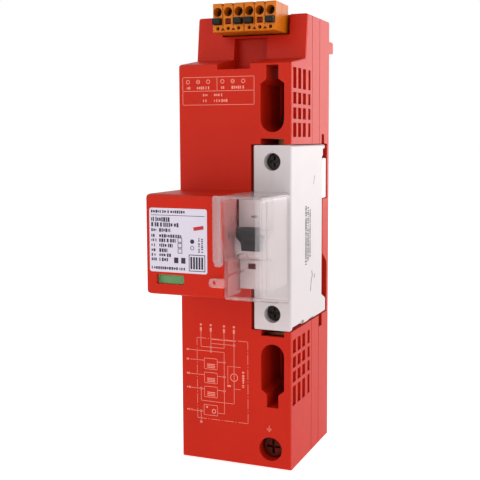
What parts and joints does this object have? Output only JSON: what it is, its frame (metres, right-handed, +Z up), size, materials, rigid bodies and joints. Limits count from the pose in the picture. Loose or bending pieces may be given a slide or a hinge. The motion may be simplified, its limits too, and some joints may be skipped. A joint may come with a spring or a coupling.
{
  "type": "busbar surge arrester with built-in circuit breaker",
  "caption": "Tall three-module surge arrester that hooks onto flat busbars, with a built-in circuit breaker under a clear hood and pull-off plugs on top.",
  "frame": {"origin": "middle of the housing's flat foot", "axes": "+X to the right seen from the front, +Y to the back towards the busbars, +Z up"},
  "size_m": [0.054, 0.1023, 0.2083],
  "materials": {
    "red_housing": "moulded red insulating plastic, fine satin texture",
    "breaker_grey": "light grey moulded plastic, fine satin texture",
    "toggle_dark": "dark grey moulded plastic",
    "catch_white": "white moulded plastic",
    "flag_red": "red moulded plastic",
    "flag_green": "green moulded plastic",
    "clear_plastic": "clear moulded polycarbonate",
    "plug_orange": "orange moulded plastic",
    "button_black": "black moulded plastic",
    "copper": "rolled copper strip",
    "steel": "zinc plated steel",
    "board_green": "glass fibre circuit board",
    "moulding_dark": "filled moulding compound",
    "wire_blue": "soft wire insulation"
  },
  "bodies": {
    "housing": {"bar_contact_l1": "copper", "bar_contact_l2": "copper", "bar_contact_l3": "copper", "bar_contact_n": "copper", "breaker_arc_chute": "steel", "breaker_bimetal": "steel", "breaker_fixed_contact": "copper", "breaker_rail_catch": "catch_white", "breaker_shell_left": "breaker_grey", "breaker_shell_right": "breaker_grey", "breaker_trip_coil": "copper", "earth_link": "copper", "earth_wire": "wire_blue", "feed_link": "copper", "front_cover": "red_housing", "header_left": "plug_orange", "header_right": "plug_orange", "housing_screw_lower_left": "steel", "housing_screw_lower_right": "steel", "housing_screw_upper_left": "steel", "housing_screw_upper_right": "steel", "monitor_board": "board_green", "neutral_link": "copper", "neutral_wire": "wire_blue", "outlet_link": "copper", "rear_base": "red_housing", "status_field": "flag_red", "status_window": "clear_plastic", "supply_board": "board_green", "surge_gap_l1": "moulding_dark", "surge_gap_l2": "moulding_dark", "surge_gap_l3": "moulding_dark", "surge_gap_n_pe": "moulding_dark"},
    "breaker_toggle": {"breaker_toggle": "toggle_dark"},
    "breaker_indicator": {"breaker_indicator": "flag_red"},
    "contact_arm": {"breaker_moving_contact": "copper"},
    "clear_hood": {"clear_hood": "clear_plastic"},
    "plug_left": {"plug_left": "plug_orange"},
    "plug_right": {"plug_right": "plug_orange"},
    "status_flag": {"status_flag": "flag_green"},
    "locking_slide_upper": {"locking_slide_upper": "toggle_dark"},
    "locking_slide_lower": {"locking_slide_lower": "toggle_dark"},
    "breaker_upper_screw": {"breaker_upper_clamp_screw": "steel"},
    "breaker_upper_cage": {"breaker_upper_clamp_cage": "steel"},
    "breaker_lower_screw": {"breaker_lower_clamp_screw": "steel"},
    "breaker_lower_cage": {"breaker_lower_clamp_cage": "steel"},
    "earth_screw": {"earth_clamp_screw": "steel"},
    "earth_cage": {"earth_clamp_cage": "steel"},
    "plug_left_button_left": {"plug_left_button_left": "button_black"},
    "plug_left_button_right": {"plug_left_button_right": "button_black"},
    "plug_right_button_left": {"plug_right_button_left": "button_black"},
    "plug_right_button_right": {"plug_right_button_right": "button_black"}
  },
  "joints": [
    {"name": "toggle_turn", "type": "hinge", "parent": "housing", "child": "breaker_toggle", "pos_m": [0.0184, -0.0423, 0.1035], "axis": [1, 0, 0], "range_deg": [0, 70]},
    {"name": "indicator_slide", "type": "slide", "parent": "housing", "child": "breaker_indicator", "axis": [0, 0, -1], "range_m": [0, 0.0032]},
    {"name": "contact_arm_turn", "type": "hinge", "parent": "housing", "child": "contact_arm", "pos_m": [0.01815, -0.0219, 0.1025], "axis": [-1, 0, 0], "range_deg": [0, 9]},
    {"name": "hood_pull", "type": "slide", "parent": "housing", "child": "clear_hood", "axis": [0, -1, 0], "range_m": [0, 0.036]},
    {"name": "plug_left_pull", "type": "slide", "parent": "housing", "child": "plug_left", "axis": [0, -1, 0], "range_m": [0, 0.012]},
    {"name": "plug_left_button_left_press", "type": "slide", "parent": "plug_left", "child": "plug_left_button_left", "axis": [0, 1, 0], "range_m": [0, 0.0015], "stiffness_N_per_m": 400, "springref_m": -0.001},
    {"name": "plug_left_button_right_press", "type": "slide", "parent": "plug_left", "child": "plug_left_button_right", "axis": [0, 1, 0], "range_m": [0, 0.0015], "stiffness_N_per_m": 400, "springref_m": -0.001},
    {"name": "plug_right_pull", "type": "slide", "parent": "housing", "child": "plug_right", "axis": [0, -1, 0], "range_m": [0, 0.012]},
    {"name": "plug_right_button_left_press", "type": "slide", "parent": "plug_right", "child": "plug_right_button_left", "axis": [0, 1, 0], "range_m": [0, 0.0015], "stiffness_N_per_m": 400, "springref_m": -0.001},
    {"name": "plug_right_button_right_press", "type": "slide", "parent": "plug_right", "child": "plug_right_button_right", "axis": [0, 1, 0], "range_m": [0, 0.0015], "stiffness_N_per_m": 400, "springref_m": -0.001},
    {"name": "breaker_upper_screw_turn", "type": "hinge", "parent": "housing", "child": "breaker_upper_screw", "pos_m": [0.0182, -0.0174, 0.1381], "axis": [0, 1, 0], "range_deg": [0, 1600]},
    {"name": "breaker_upper_cage_rise", "type": "slide", "parent": "housing", "child": "breaker_upper_cage", "axis": [0, -1, 0], "range_m": [0, 0.00356]},
    {"name": "breaker_lower_screw_turn", "type": "hinge", "parent": "housing", "child": "breaker_lower_screw", "pos_m": [0.0182, -0.0174, 0.0707], "axis": [0, 1, 0], "range_deg": [0, 1600]},
    {"name": "breaker_lower_cage_rise", "type": "slide", "parent": "housing", "child": "breaker_lower_cage", "axis": [0, -1, 0], "range_m": [0, 0.00356]},
    {"name": "earth_screw_turn", "type": "hinge", "parent": "housing", "child": "earth_screw", "pos_m": [0.0173, -0.0174, 0.0089], "axis": [0, 1, 0], "range_deg": [0, 1600]},
    {"name": "earth_cage_rise", "type": "slide", "parent": "housing", "child": "earth_cage", "axis": [0, -1, 0], "range_m": [0, 0.00356]},
    {"name": "status_flag_slide", "type": "slide", "parent": "housing", "child": "status_flag", "axis": [1, 0, 0], "range_m": [0, 0.014]},
    {"name": "upper_lock_lift", "type": "slide", "parent": "housing", "child": "locking_slide_upper", "axis": [0, 0, 1], "range_m": [0, 0.0065], "stiffness_N_per_m": 300, "springref_m": -0.008},
    {"name": "lower_lock_drop", "type": "slide", "parent": "housing", "child": "locking_slide_lower", "axis": [0, 0, -1], "range_m": [0, 0.0065], "stiffness_N_per_m": 300, "springref_m": -0.008}
  ],
  "couplings": [
    {"joint": "indicator_slide", "follows": "toggle_turn", "m_per_rad": 0.0026},
    {"joint": "contact_arm_turn", "follows": "toggle_turn", "ratio": 0.125},
    {"joint": "breaker_upper_screw_turn", "follows": "breaker_upper_cage_rise", "rad_per_m": 7854},
    {"joint": "breaker_lower_screw_turn", "follows": "breaker_lower_cage_rise", "rad_per_m": 7854},
    {"joint": "earth_screw_turn", "follows": "earth_cage_rise", "rad_per_m": 7854}
  ]
}
